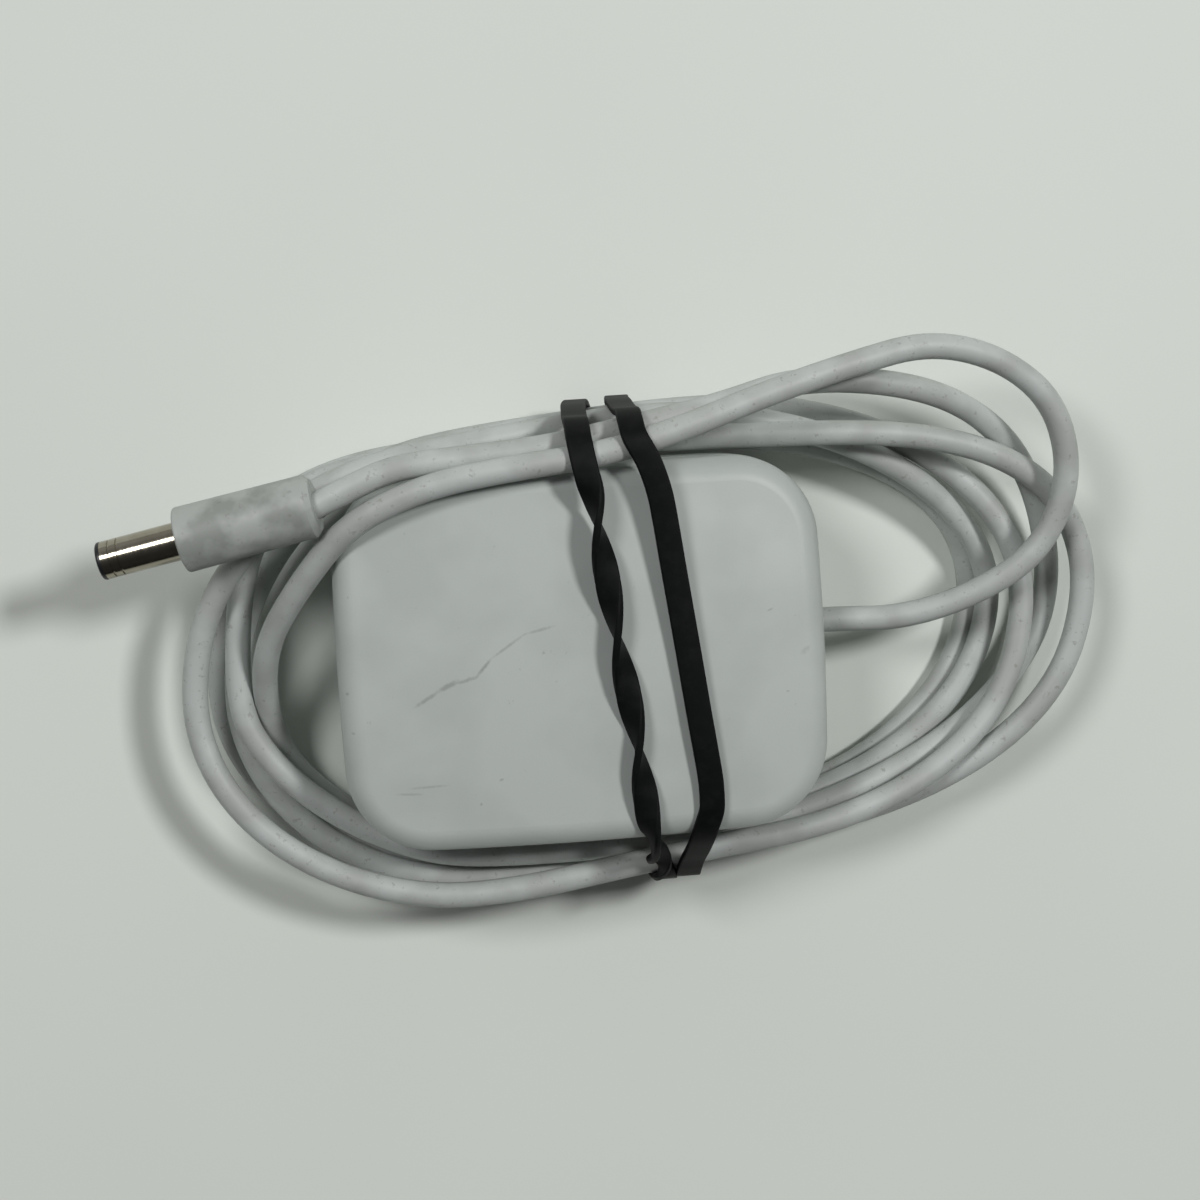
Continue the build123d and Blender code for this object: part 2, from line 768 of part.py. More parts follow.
# Two insulated leads from the end of the cord down to the board
with BuildPart() as output_leads:
    for side in (-1, 1):
        start = (cord_start_x, cord_exit_y + side * lead_wire_offset, cord_exit_height)
        with BuildLine():
            lead_path = FilletPolyline(
                start,
                (cord_start_x - lead_wire_drop, start[1], cord_exit_height),
                (cord_start_x - lead_wire_drop, start[1], board_top),
                radius=lead_wire_bend,
            )
        with BuildSketch(Plane(origin=start, z_dir=(-1, 0, 0))):
            Circle(lead_wire_radius)
        sweep(path=lead_path)
save(output_leads, "output_leads")


def cord_tube(name, points, report):
    """A round cord along straight runs joined by arcs as large as the runs allow."""
    spots = [Vector(*point) for point in points]
    radii = []
    for before, corner, after in zip(spots, spots[1:], spots[2:]):
        turn = (corner - before).get_angle(after - corner)
        shorter = min((corner - before).length, (after - corner).length)
        radii.append(0.45 * shorter / math.tan(math.radians(turn) / 2))
    with BuildPart() as tube:
        with BuildLine():
            path = FilletPolyline(*spots, radius=radii)
        with BuildSketch(Plane(origin=path @ 0, z_dir=path % 0)):
            Circle(cord_radius)
        sweep(path=path)
    save(tube, name)
    section = math.pi * cord_radius**2
    print(report, "radii", [round(radius, 1) for radius in radii])
    print(report, "volume over section times length", round(tube.part.volume / (section * path.length), 4))


# Cord from the exit, over the right-hand loop and along the top and left of the hank
cord_lead_points = [
    (cord_start_x, cord_exit_y, cord_exit_height),
    (half_length + 3.0, cord_exit_y, cord_exit_height),
    (half_length + 12.0, cord_exit_y - 0.1, cord_exit_height + 0.4),
    (half_length + 21.5, cord_exit_y + 2.0, cord_exit_height + 1.4),
    (half_length + 30.5, 8.2, cord_exit_height + 2.6),
    (half_length + 35.3, 17.6, cord_exit_height + 3.8),
    (half_length + 33.4, half_width + 4.0, casing_height - 9.2),
    (half_length + 26.2, half_width + 10.6, casing_height - 7.4),
    (half_length + 16.2, half_width + 13.2, casing_height - 5.4),
    (half_length + 5.3, half_width + 11.0, casing_height - 3.1),
    (half_length - 5.0, half_width + 7.5, casing_height - 1.0),
    (half_length - 15.5, half_width + 4.2, casing_height + 0.3),
    (4.5, half_width + 1.9, casing_height + 0.9),
    (-7.5, half_width + 0.5, casing_height + 1.1),
    (-18.5, half_width - 1.6, casing_height + 0.9),
    (2.6 - half_length, half_width - 5.4, casing_height - 0.6),
    (-4.2 - half_length, 11.8, casing_height - 5.0),
    (-8.3 - half_length, 3.6, 17.8),
    (-9.4 - half_length, -5.0, 12.8),
    (-6.9 - half_length, -13.2, 8.2),
    (-1.2 - half_length, 4.4 - half_width, 5.2),
    (5.8 - half_length, -0.8 - half_width, 3.6),
]
cord_tube("cord_lead", cord_lead_points, "cord lead")

# Last stretch of the cord, off the top of the hank to the plug
plug_tail_end = (-1.2 - half_length, half_width - 2.8, casing_height - 1.2)
cord_tail_points = [
    (30.0, half_width + 8.4, casing_height - 5.8),
    (19.0, half_width + 6.8, casing_height - 4.2),
    (8.0, half_width + 4.9, casing_height - 2.8),
    (-2.0, half_width + 3.9, casing_height - 1.9),
    (-12.0, half_width + 2.9, casing_height - 1.2),
    (-20.0, half_width + 1.2, casing_height - 0.7),
    (-26.2, half_width - 1.4, casing_height - 0.6),
    plug_tail_end,
]
cord_tube("cord_tail", cord_tail_points, "cord tail")


# Hank: the closed outer shape of the turns that lie beside and on each other round the casing
def lobed(right, left, top, bottom, right_end, left_end):
    """Four quarter ellipses joined by straights, drawn anticlockwise from the lower right."""
    quarters = [
        ((right_low, cross_right), right - right_low, bottom + cross_right, 270),
        ((right_end, cross_right), right - right_end, top - cross_right, 0),
        ((left_end, cross_left), left_end - left, top - cross_left, 90),
        ((left_low, cross_left), left_low - left, bottom + cross_left, 180),
    ]
    with BuildSketch() as flat:
        with BuildLine():
            for centre, reach_x, reach_y, start in quarters:
                EllipticalCenterArc(centre, reach_x, reach_y, start, arc_size=90)
            Line((right_end, top), (left_end, top))
            Line((left_low, -bottom), (right_low, -bottom))
        make_face()
    return flat.sketch


hank_outside = (hank_right_outer, hank_left_outer, hank_top_outer, hank_bottom_outer)
hank_inside = (hank_right_inner, hank_left_inner, hank_inner, hank_inner)
# Heights along the length: low loops, high where the turns climb the casing's long side
length_profile = [
    (hank_left_outer - 1, 0),
    (hank_left_outer - 1, hank_left_height - hank_slope),
    (hank_left_outer + hank_slope, hank_left_height),
    (hank_left_inner, hank_left_height + hank_slope),
    (7.0 - half_length, hank_top_height),
    (half_length + 3.0, hank_top_height),
    (hank_right_inner + 2 * hank_slope, hank_right_height + 1.6),
    (hank_right_outer - hank_slope, hank_right_height - 0.8),
    (hank_right_outer + 1, hank_right_height - hank_slope),
    (hank_right_outer + 1, 0),
]
# Heights across the width: low along the lower bundle, high along the upper one
width_profile = [
    (-hank_bottom_outer - 1, 0),
    (-hank_bottom_outer - 1, hank_bottom_height - hank_shoulder),
    (hank_shoulder + 1 - hank_bottom_outer, hank_bottom_height),
    (hank_slope - hank_inner, hank_bottom_height),
    (hank_inner - 12.0, hank_left_height + 1),
    (hank_inner - 2.0, hank_top_height - 1),
    (hank_inner, hank_top_height),
    (hank_top_outer - hank_shoulder, hank_top_height),
    (hank_top_outer + 1, hank_top_height - hank_shoulder),
    (hank_top_outer + 1, 0),
]
# The upper bundle bridges clear of the table between the loops
bridge_profile = [
    (-half_length - 3.0, 0),
    (9.0 - half_length, hank_top_underside),
    (half_length - 3.0, hank_top_underside),
    (half_length + 15.0, 0),
]
# Shallow relief where the rubber band passes under the lower bundle
relief_profile = [
    (band_relief_flat[0] - 2, 0),
    (band_relief_flat[0], band_relief_depth),
    (band_relief_flat[1], band_relief_depth),
    (band_relief_flat[1] + 2, 0),
]
with BuildPart() as cord_coil:
    with BuildSketch():
        add(lobed(*hank_outside, right_high, left_high))
        add(lobed(*hank_inside, inner_right_high, inner_left_high), mode=Mode.SUBTRACT)
    extrude(amount=casing_height)
    with BuildSketch(Plane.XZ):
        with BuildLine():
            Polyline(*length_profile, close=True)
        make_face()
    extrude(amount=2 * casing_width, both=True, mode=Mode.INTERSECT)
    with BuildSketch(Plane.YZ):
        with BuildLine():
            Polyline(*width_profile, close=True)
        make_face()
    extrude(amount=2 * casing_length, both=True, mode=Mode.INTERSECT)
    with BuildSketch(Plane.XZ.offset(hank_shoulder - hank_inner)):
        with BuildLine():
            Polyline(*bridge_profile, close=True)
        make_face()
    extrude(amount=-casing_width, mode=Mode.SUBTRACT)
    with BuildSketch(Plane.XZ.offset(hank_inner - hank_shoulder)):
        with BuildLine():
            Polyline(*relief_profile, close=True)
        make_face()
    extrude(amount=casing_width, mode=Mode.SUBTRACT)
save(cord_coil, "cord_coil")

# Barrel plug, built along its own axis from the cord end to the tip
level = math.cos(math.radians(plug_droop))
plug_axis = (
    level * math.cos(math.radians(plug_heading)),
    level * math.sin(math.radians(plug_heading)),
    -math.sin(math.radians(plug_droop)),
)
plug_plane = Plane(origin=plug_tail_end, z_dir=plug_axis)
plug_line = Axis(plug_tail_end, plug_axis)
seat = plug_housing_length - plug_seat_depth
barrel_tip = plug_housing_length + plug_barrel_length

with BuildPart() as plug_housing:
    with BuildSketch(plug_plane):
        Circle(plug_housing_rear_radius)
    with BuildSketch(plug_plane.offset(plug_housing_length)):
        Circle(plug_housing_radius)
    loft()
    ends = plug_housing.faces().filter_by(GeomType.PLANE).sort_by(plug_line)
    chamfer(ends[0].edges(), plug_rim_chamfer)
    fillet(ends[-1].edges(), plug_housing_edge)
    with BuildSketch(plug_plane.offset(seat)):
        Circle(plug_stem_radius)
    extrude(amount=plug_seat_depth, mode=Mode.SUBTRACT)
save(plug_housing, "plug_housing")

with BuildPart() as plug_barrel:
    with BuildSketch(plug_plane.offset(seat)):
        Circle(plug_stem_radius)
    extrude(amount=plug_seat_depth)
    with BuildSketch(plug_plane.offset(plug_housing_length)):
        Circle(plug_barrel_radius)
    extrude(amount=plug_barrel_length)
    with BuildSketch(plug_plane.offset(seat)):
        Circle(plug_sleeve_radius)
    extrude(amount=barrel_tip - seat, mode=Mode.SUBTRACT)
    for spot in plug_groove_spots:
        with BuildSketch(plug_plane.offset(barrel_tip - spot - plug_groove_width)):
            Circle(plug_barrel_radius)
            Circle(plug_barrel_radius - plug_groove_depth, mode=Mode.SUBTRACT)
        extrude(amount=plug_groove_width, mode=Mode.SUBTRACT)
save(plug_barrel, "plug_barrel")

contact_radius = plug_bore_radius + plug_contact_wall
with BuildPart() as plug_insulator:
    with BuildSketch(plug_plane.offset(seat)):
        Circle(plug_sleeve_radius)
    extrude(amount=barrel_tip - seat)
    with BuildSketch(plug_plane.offset(barrel_tip)):
        Circle(plug_barrel_radius)
    extrude(amount=plug_ring_length)
    tip_face = plug_insulator.faces().filter_by(GeomType.PLANE).sort_by(plug_line)[-1]
    fillet(tip_face.edges(), plug_ring_length / 2)
    with BuildSketch(plug_plane.offset(barrel_tip + plug_ring_length - plug_bore_depth)):
        Circle(plug_bore_radius)
    extrude(amount=plug_bore_depth, mode=Mode.SUBTRACT)
    with BuildSketch(plug_plane.offset(barrel_tip + plug_ring_length - plug_bore_depth)):
        Circle(contact_radius)
    extrude(amount=plug_contact_length, mode=Mode.SUBTRACT)
save(plug_insulator, "plug_insulator")

with BuildPart() as plug_inner_contact:
    with BuildSketch(plug_plane.offset(barrel_tip + plug_ring_length - plug_bore_depth)):
        Circle(contact_radius)
        Circle(plug_bore_radius, mode=Mode.SUBTRACT)
    extrude(amount=plug_contact_length)
save(plug_inner_contact, "plug_inner_contact")

# Rubber band: two runs over the face and two behind, hugging the bundles at both long sides
rear_run = rear_face - band_gap - band_thickness / 2
band_path = [
    (0.6 - half_width, casing_height),
    (half_width + 2.0, casing_height + 3.8),
    (half_width + 7.6, casing_height - 1.4),
    (half_width + 8.0, hank_top_underside + 3.4),
    (half_width + 5.8, hank_top_underside + 0.4),
    (half_width - 1.4, rear_run),
    (-half_width - 7.0, rear_run),
    (-half_width - 9.9, 4.6),
    (-half_width - 9.8, 9.2),
]
band_end_top = half_width + 12.0
band_end_bottom = -half_width - 14.0
band_flat_run = [
    (6.9, band_end_top),
    (6.9, half_width + 7.2),
    (10.9, half_width - 3.6),
    (12.8, 8.3),
    (14.1, -4.2),
    (15.2, 6.5 - half_width),
    (13.6, 0.5 - half_width),
    (9.8, -half_width - 6.0),
    (9.6, band_end_bottom),
]
band_twisted_run = [
    (0.7, band_end_top),
    (0.7, half_width + 6.7),
    (1.4, half_width - 0.5),
    (3.0, 11.1),
    (4.7, -5.7),
    (6.5, 5.6 - half_width),
    (7.6, -half_width - 3.1),
    (8.0, band_end_bottom),
]
band_rear_left = [
    (0.7, band_end_top),
    (0.7, half_width + 7.0),
    (6.2, 13.0),
    (6.2, -22.0),
    (8.0, band_end_bottom),
]
band_rear_right = [
    (6.9, band_end_top),
    (6.9, half_width + 7.0),
    (10.2, 13.0),
    (10.0, -22.0),
    (9.6, band_end_bottom),
]


def strip(points):
    """Flat outline of a band run, band_width wide along X about a line of points."""
    near = [(x - band_width / 2, y) for x, y in points]
    far = [(x + band_width / 2, y) for x, y in reversed(points)]
    with BuildSketch() as flat:
        with BuildLine():
            Polyline(*near, *far, close=True)
        make_face()
    return flat.sketch


band_split = casing_height / 2
with BuildPart() as band_runs:
    with BuildSketch(Plane.XY.offset(band_split)):
        add(strip(band_flat_run))
        add(strip(band_twisted_run))
    extrude(amount=casing_height)
    with BuildSketch(Plane.XY.offset(band_split)):
        add(strip(band_rear_left))
        add(strip(band_rear_right))
    extrude(amount=-casing_height)

with BuildPart() as rubber_band:
    with BuildSketch(Plane.YZ.offset(-half_length)) as ring:
        with BuildLine():
            Polyline(*band_path, close=True)
        make_face()
        fillet(ring.vertices(), band_fillet)
        offset(amount=band_thickness / 2)
        offset(amount=-band_thickness, mode=Mode.SUBTRACT)
    extrude(amount=casing_length)
    add(band_runs.part, mode=Mode.INTERSECT)
save(rubber_band, "rubber_band")
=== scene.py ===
import math
import bpy
from mathutils import Matrix, Vector


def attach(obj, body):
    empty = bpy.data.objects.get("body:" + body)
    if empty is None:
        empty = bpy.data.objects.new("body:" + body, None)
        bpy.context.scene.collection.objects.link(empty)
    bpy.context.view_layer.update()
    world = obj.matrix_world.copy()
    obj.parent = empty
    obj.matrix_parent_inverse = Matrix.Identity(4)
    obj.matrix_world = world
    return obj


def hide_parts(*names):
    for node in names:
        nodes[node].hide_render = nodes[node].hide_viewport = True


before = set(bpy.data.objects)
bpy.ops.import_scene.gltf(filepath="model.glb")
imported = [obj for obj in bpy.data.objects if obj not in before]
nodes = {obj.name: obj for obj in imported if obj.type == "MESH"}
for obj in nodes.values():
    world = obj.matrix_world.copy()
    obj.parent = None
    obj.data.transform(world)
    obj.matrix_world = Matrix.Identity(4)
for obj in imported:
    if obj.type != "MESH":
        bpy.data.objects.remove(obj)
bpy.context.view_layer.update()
print("frame loaded:", len(nodes), "nodes")


def metres(points):
    # lists are written in millimetres, the scene is in metres
    return [Vector(point) / 1000 for point in points]


def toLinear(code):
    channels = [int(code[i:i + 2], 16) / 255 for i in (1, 3, 5)]
    return (*[c / 12.92 if c <= 0.04045 else ((c + 0.055) / 1.055) ** 2.4 for c in channels], 1)


def addNode(tree, kind, settings=None, inputs=None):
    # inputs may be plain values or sockets of other nodes, by name or by index
    node = tree.nodes.new(kind)
    for key, value in (settings or {}).items():
        setattr(node, key, value)
    for key, value in (inputs or {}).items():
        if isinstance(value, bpy.types.NodeSocket):
            tree.links.new(value, node.inputs[key])
        else:
            node.inputs[key].default_value = value
    return node


def newMaterial(name):
    # an empty material, its shader, and Object coordinates counted in millimetres
    material = bpy.data.materials.new(name)
    material.use_nodes = True
    tree = material.node_tree
    tree.nodes.clear()
    shader = addNode(tree, "ShaderNodeBsdfPrincipled")
    addNode(tree, "ShaderNodeOutputMaterial", inputs={"Surface": shader.outputs["BSDF"]})
    place = addNode(tree, "ShaderNodeTexCoord").outputs["Object"]
    spot = addNode(tree, "ShaderNodeMapping", inputs={"Vector": place, "Scale": (1000, 1000, 1000)})
    return material, tree, shader, spot.outputs["Vector"]


# Camera: high over the table, leaned a few degrees towards the plug and the far long side
camera = {
    "aim": (3.40, 5.58, 14.0), "distance": 340.0, "lean": (5.0, 6.5), "roll": -3.26,
    "lens": 78.52, "sensor": 36, "nearest": 0.01,
}

leanX, leanY = [math.radians(angle) for angle in camera["lean"]]
backward = Vector((-math.sin(leanX), math.sin(leanY), 0))
backward.z = math.sqrt(1 - backward.x ** 2 - backward.y ** 2)
across = (-backward).cross(Vector((0, 1, 0))).normalized()
upward = across.cross(-backward)
roll = math.radians(camera["roll"])
imageRight = math.cos(roll) * across + math.sin(roll) * upward
imageUp = math.cos(roll) * upward - math.sin(roll) * across
cameraData = bpy.data.cameras.new("camera")
cameraData.lens = camera["lens"]
cameraData.sensor_width = camera["sensor"]
cameraData.clip_start = camera["nearest"]
cameraObject = bpy.data.objects.new("camera", cameraData)
bpy.context.scene.collection.objects.link(cameraObject)
turn = Matrix((imageRight, imageUp, backward)).transposed().to_4x4()
cameraPlace = (Vector(camera["aim"]) + backward * camera["distance"]) / 1000
cameraObject.matrix_world = Matrix.Translation(cameraPlace) @ turn
bpy.context.scene.camera = cameraObject
print("camera placed")


# Moulded polymer: the casing, the cord's jacket, the plug and the inside mouldings. They all share
# the noise levels of grubby and clean, the spread of the flecks and the softness of their edges,
# the plane and levels of the wear marks, and how far gloss and relief vary
moulding = {
    "grubbyAt": 0.38, "cleanAt": 0.58, "clusterScale": 0.35, "fleckEdge": 0.08,
    "wearHeight": 27, "wearReach": 5, "wearFrom": 0.1, "wearFull": 0.35,
    "duller": 0.08, "glossier": 0.06, "reliefDepth": 0.00002, "ior": 1.5,
}


def mouldedPlastic(name, look, wear=()):
    material, tree, shader, spot = newMaterial(name)
    patches = addNode(tree, "ShaderNodeTexNoise",
                      inputs={"Vector": spot, "Scale": 1 / look["patchSize"], "Detail": 3.0})
    blotch = addNode(tree, "ShaderNodeValToRGB", inputs={"Fac": patches.outputs["Fac"]})
    blotch.color_ramp.elements[0].position = moulding["grubbyAt"]
    blotch.color_ramp.elements[0].color = toLinear(look["grubby"])
    blotch.color_ramp.elements[1].position = moulding["cleanAt"]
    blotch.color_ramp.elements[1].color = toLinear(look["clean"])

    # handling marks: small dark flecks, only where a wider noise lets them through
    flecks = addNode(tree, "ShaderNodeTexNoise",
                     inputs={"Vector": spot, "Scale": 1 / look["fleckSize"], "Detail": 4.0,
                             "Roughness": 0.7})
    clusters = addNode(tree, "ShaderNodeTexNoise",
                       inputs={"Vector": spot, "Detail": 1.0,
                               "Scale": moulding["clusterScale"] / look["fleckSize"]})
    dirt = addNode(tree, "ShaderNodeMath", {"operation": "MULTIPLY"},
                   {0: flecks.outputs["Fac"], 1: clusters.outputs["Fac"]})
    mask = addNode(tree, "ShaderNodeMapRange",
                   inputs={"Value": dirt.outputs[0], "From Min": look["fleckLevel"],
                           "From Max": look["fleckLevel"] + moulding["fleckEdge"],
                           "To Max": look["fleckShare"]})
    tint = addNode(tree, "ShaderNodeMix", {"data_type": "RGBA"},
                   {"Factor": mask.outputs[0], "A": blotch.outputs["Color"],
                    "B": toLinear(look["fleck"])})
    colour = tint.outputs["Result"]

    for x, y, length, width, heading, depth in wear:
        # a soft oblong mark, broken up by the flecks' noise
        within = addNode(tree, "ShaderNodeMapping", {"vector_type": "TEXTURE"},
                         {"Vector": spot, "Location": (x, y, moulding["wearHeight"]),
                          "Rotation": (0, 0, math.radians(heading)),
                          "Scale": (length / 2, width / 2, moulding["wearReach"])})
        blob = addNode(tree, "ShaderNodeTexGradient", {"gradient_type": "SPHERICAL"},
                       {"Vector": within.outputs["Vector"]})
        broken = addNode(tree, "ShaderNodeMath", {"operation": "MULTIPLY"},
                         {0: blob.outputs["Fac"], 1: flecks.outputs["Fac"]})
        share = addNode(tree, "ShaderNodeMapRange",
                        inputs={"Value": broken.outputs[0], "From Min": moulding["wearFrom"],
                                "From Max": moulding["wearFull"], "To Max": depth})
        marked = addNode(tree, "ShaderNodeMix", {"data_type": "RGBA"},
                         {"Factor": share.outputs[0], "A": colour, "B": toLinear(look["fleck"])})
        colour = marked.outputs["Result"]
    tree.links.new(colour, shader.inputs["Base Color"])

    gloss = addNode(tree, "ShaderNodeMapRange",
                    inputs={"Value": patches.outputs["Fac"],
                            "To Min": look["roughness"] + moulding["duller"],
                            "To Max": look["roughness"] - moulding["glossier"]})
    tree.links.new(gloss.outputs[0], shader.inputs["Roughness"])
    grain = addNode(tree, "ShaderNodeTexNoise",
                    inputs={"Vector": spot, "Scale": 1 / look["grainSize"], "Detail": 2.0})
    relief = addNode(tree, "ShaderNodeBump",
                     inputs={"Strength": look["grainStrength"], "Distance": moulding["reliefDepth"],
                             "Height": grain.outputs["Fac"]})
    tree.links.new(relief.outputs["Normal"], shader.inputs["Normal"])
    shader.inputs["IOR"].default_value = moulding["ior"]
    return material


# Polycarbonate blend, spark-eroded mould: even satin, greyed by handling
coverLook = {
    "clean": "#B9BFBB", "grubby": "#B1B7B3", "fleck": "#8E918C", "fleckShare": 0.5,
    "patchSize": 14.0, "fleckSize": 0.5, "fleckLevel": 0.43, "roughness": 0.42,
    "grainSize": 0.16, "grainStrength": 0.25,
}
coverPolycarbonate = mouldedPlastic("coverPolycarbonate", coverLook)
# The front cover is the same blend with its own scratch and specks.
# Each mark: x, y, length, width, heading in degrees and how much it darkens
faceWear = [
    (-20.0, -3.9, 5.6, 0.8, 30, 0.6), (-17.3, -2.4, 4.6, 1.1, 25, 0.7),
    (-14.9, -1.8, 4.0, 0.8, 15, 0.6), (-12.8, -0.4, 5.0, 0.7, 48, 0.7),
    (-9.5, 2.2, 8.0, 0.6, 33, 0.5), (-5.6, 3.9, 6.0, 0.6, 12, 0.5),
    (-20.5, -15.1, 7.4, 0.5, 2, 0.4), (-23.0, -15.9, 5.2, 0.5, -3, 0.4),
    (23.7, 4.4, 1.4, 0.35, 20, 0.6), (28.0, -1.1, 2.6, 1.2, 35, 0.3),
    (-29.9, -2.8, 0.8, 0.7, 0, 0.7), (-29.5, -7.8, 0.8, 0.6, 0, 0.6),
    (-11.4, -14.7, 0.9, 0.5, 15, 0.6), (-14.1, -17.7, 0.6, 0.5, 80, 0.6),
]
frontPolycarbonate = mouldedPlastic("frontPolycarbonate", coverLook, faceWear)
# Soft thermoplastic jacket: duller than the cover, greyed in patches and flecked with dirt
jacketLook = {
    "clean": "#B9BEBB", "grubby": "#A7AAA6", "fleck": "#7D7A72", "fleckShare": 0.5,
    "patchSize": 8.0, "fleckSize": 0.35, "fleckLevel": 0.348, "roughness": 0.5,
    "grainSize": 0.3, "grainStrength": 0.3,
}
cordElastomer = mouldedPlastic("cordElastomer", jacketLook)
# Overmoulded plug grip: the same compound, harder, smudged where fingers hold it
gripLook = {
    "clean": "#AAAEAA", "grubby": "#8F938E", "fleck": "#777670", "fleckShare": 0.45,
    "patchSize": 4.5, "fleckSize": 0.45, "fleckLevel": 0.36, "roughness": 0.48,
    "grainSize": 0.25, "grainStrength": 0.3,
}
gripElastomer = mouldedPlastic("gripElastomer", gripLook)
# Acetal for the turning hub and its retainer: whiter and slicker than the cover
hubLook = {
    "clean": "#CFD1CC", "grubby": "#C6C8C3", "fleck": "#A9AAA5", "fleckShare": 0.3,
    "patchSize": 6.0, "fleckSize": 0.4, "fleckLevel": 0.45, "roughness": 0.32,
    "grainSize": 0.2, "grainStrength": 0.15,
}
hubAcetal = mouldedPlastic("hubAcetal", hubLook)
# Black nylon ring at the plug's tip and the cases of the small parts: moulded, slightly shiny
resinLook = {
    "clean": "#17181A", "grubby": "#1F2022", "fleck": "#4A4A48", "fleckShare": 0.3,
    "patchSize": 2.0, "fleckSize": 0.25, "fleckLevel": 0.44, "roughness": 0.38,
    "grainSize": 0.12, "grainStrength": 0.3,
}
blackNylon = mouldedPlastic("blackNylon", resinLook)
# Yellow flame-proof case of the film capacitor
filmLook = {
    "clean": "#C9A12C", "grubby": "#BE9524", "fleck": "#8F6E18", "fleckShare": 0.3,
    "patchSize": 4.0, "fleckSize": 0.4, "fleckLevel": 0.45, "roughness": 0.35,
    "grainSize": 0.2, "grainStrength": 0.2,
}
filmCase = mouldedPlastic("filmCase", filmLook)
# Aramid paper barrier: fibrous, matt, off white
paperLook = {
    "clean": "#DAD6C8", "grubby": "#CDC8B8", "fleck": "#B2AC98", "fleckShare": 0.5,
    "patchSize": 1.2, "fleckSize": 0.3, "fleckLevel": 0.38, "roughness": 0.75,
    "grainSize": 0.1, "grainStrength": 0.6,
}
barrierAramid = mouldedPlastic("barrierAramid", paperLook)


# Natural rubber, extruded and cut: nearly black and matt, a little paler where it blooms
def vulcanisedRubber(name, look):
    material, tree, shader, spot = newMaterial(name)
    bloom = addNode(tree, "ShaderNodeTexNoise",
                    inputs={"Vector": spot, "Scale": 1 / look["bloomSize"], "Detail": 5.0,
                            "Roughness": 0.65})
    colour = addNode(tree, "ShaderNodeValToRGB", inputs={"Fac": bloom.outputs["Fac"]})
    colour.color_ramp.elements[0].position = look["blackAt"]
    colour.color_ramp.elements[0].color = toLinear(look["black"])
    colour.color_ramp.elements[1].position = look["bloomAt"]
    colour.color_ramp.elements[1].color = toLinear(look["bloom"])
    tree.links.new(colour.outputs["Color"], shader.inputs["Base Color"])
    shader.inputs["Roughness"].default_value = look["roughness"]
    shader.inputs["Specular IOR Level"].default_value = look["sheen"]
    pits = addNode(tree, "ShaderNodeTexNoise",
                   inputs={"Vector": spot, "Scale": 1 / look["pitSize"], "Detail": 3.0})
    relief = addNode(tree, "ShaderNodeBump",
                     inputs={"Strength": look["pitStrength"], "Distance": look["pitDepth"],
                             "Height": pits.outputs["Fac"]})
    tree.links.new(relief.outputs["Normal"], shader.inputs["Normal"])
    return material


rubberLook = {
    "black": "#090B0B", "blackAt": 0.45, "bloom": "#131514", "bloomAt": 0.75, "bloomSize": 1.6,
    "pitSize": 0.15, "pitStrength": 0.5, "pitDepth": 0.00003, "roughness": 0.55, "sheen": 0.12,
}
bandRubber = vulcanisedRubber("bandRubber", rubberLook)


# Plated or bare metal: fine lines drawn along one axis and a slight stain
drawing = {
    "stainScale": 0.5, "glossier": 0.05, "duller": 0.1, "lineStrength": 0.15, "lineDepth": 0.00001,
}


def drawnMetal(name, look):
    material, tree, shader, spot = newMaterial(name)
    lines = addNode(tree, "ShaderNodeMapping", inputs={"Vector": spot, "Scale": look["lineScale"]})
    streaks = addNode(tree, "ShaderNodeTexNoise",
                      inputs={"Vector": lines.outputs["Vector"], "Scale": 1 / look["lineSize"],
                              "Detail": 2.0})
    stain = addNode(tree, "ShaderNodeTexNoise",
                    inputs={"Vector": spot, "Scale": drawing["stainScale"], "Detail": 2.0})
    colour = addNode(tree, "ShaderNodeMix", {"data_type": "RGBA"},
                     {"Factor": stain.outputs["Fac"], "A": toLinear(look["bright"]),
                      "B": toLinear(look["stained"])})
    tree.links.new(colour.outputs["Result"], shader.inputs["Base Color"])
    shader.inputs["Metallic"].default_value = 1.0
    gloss = addNode(tree, "ShaderNodeMapRange",
                    inputs={"Value": streaks.outputs["Fac"],
                            "To Min": look["roughness"] - drawing["glossier"],
                            "To Max": look["roughness"] + drawing["duller"]})
    tree.links.new(gloss.outputs[0], shader.inputs["Roughness"])
    relief = addNode(tree, "ShaderNodeBump",
                     inputs={"Strength": drawing["lineStrength"], "Distance": drawing["lineDepth"],
                             "Height": streaks.outputs["Fac"]})
    tree.links.new(relief.outputs["Normal"], shader.inputs["Normal"])
    return material


# Bright nickel plate on the turned barrel: mirror-like with faint turning lines
plugNickel = drawnMetal("plugNickel", {
    "bright": "#B9B3A6", "stained": "#97917F", "lineScale": (1, 0.1, 0.1),
    "lineSize": 0.2, "roughness": 0.13,
})
# Nickel-plated brass blades, stamped from strip: satin lines along the blade
bladeNickel = drawnMetal("bladeNickel", {
    "bright": "#C9C5BA", "stained": "#B3AD9E", "lineScale": (0.08, 1, 1),
    "lineSize": 0.15, "roughness": 0.28,
})
# Phosphor bronze spring leaves: bare warm metal
springBronze = drawnMetal("springBronze", {
    "bright": "#C79A5B", "stained": "#A87B43", "lineScale": (1, 1, 0.1),
    "lineSize": 0.15, "roughness": 0.3,
})
# Enamelled copper wire under clear tape: glossy, wound in close turns
copperWire = drawnMetal("copperWire", {
    "bright": "#B4683A", "stained": "#8E4C28", "lineScale": (0.1, 0.1, 1),
    "lineSize": 0.3, "roughness": 0.3,
})
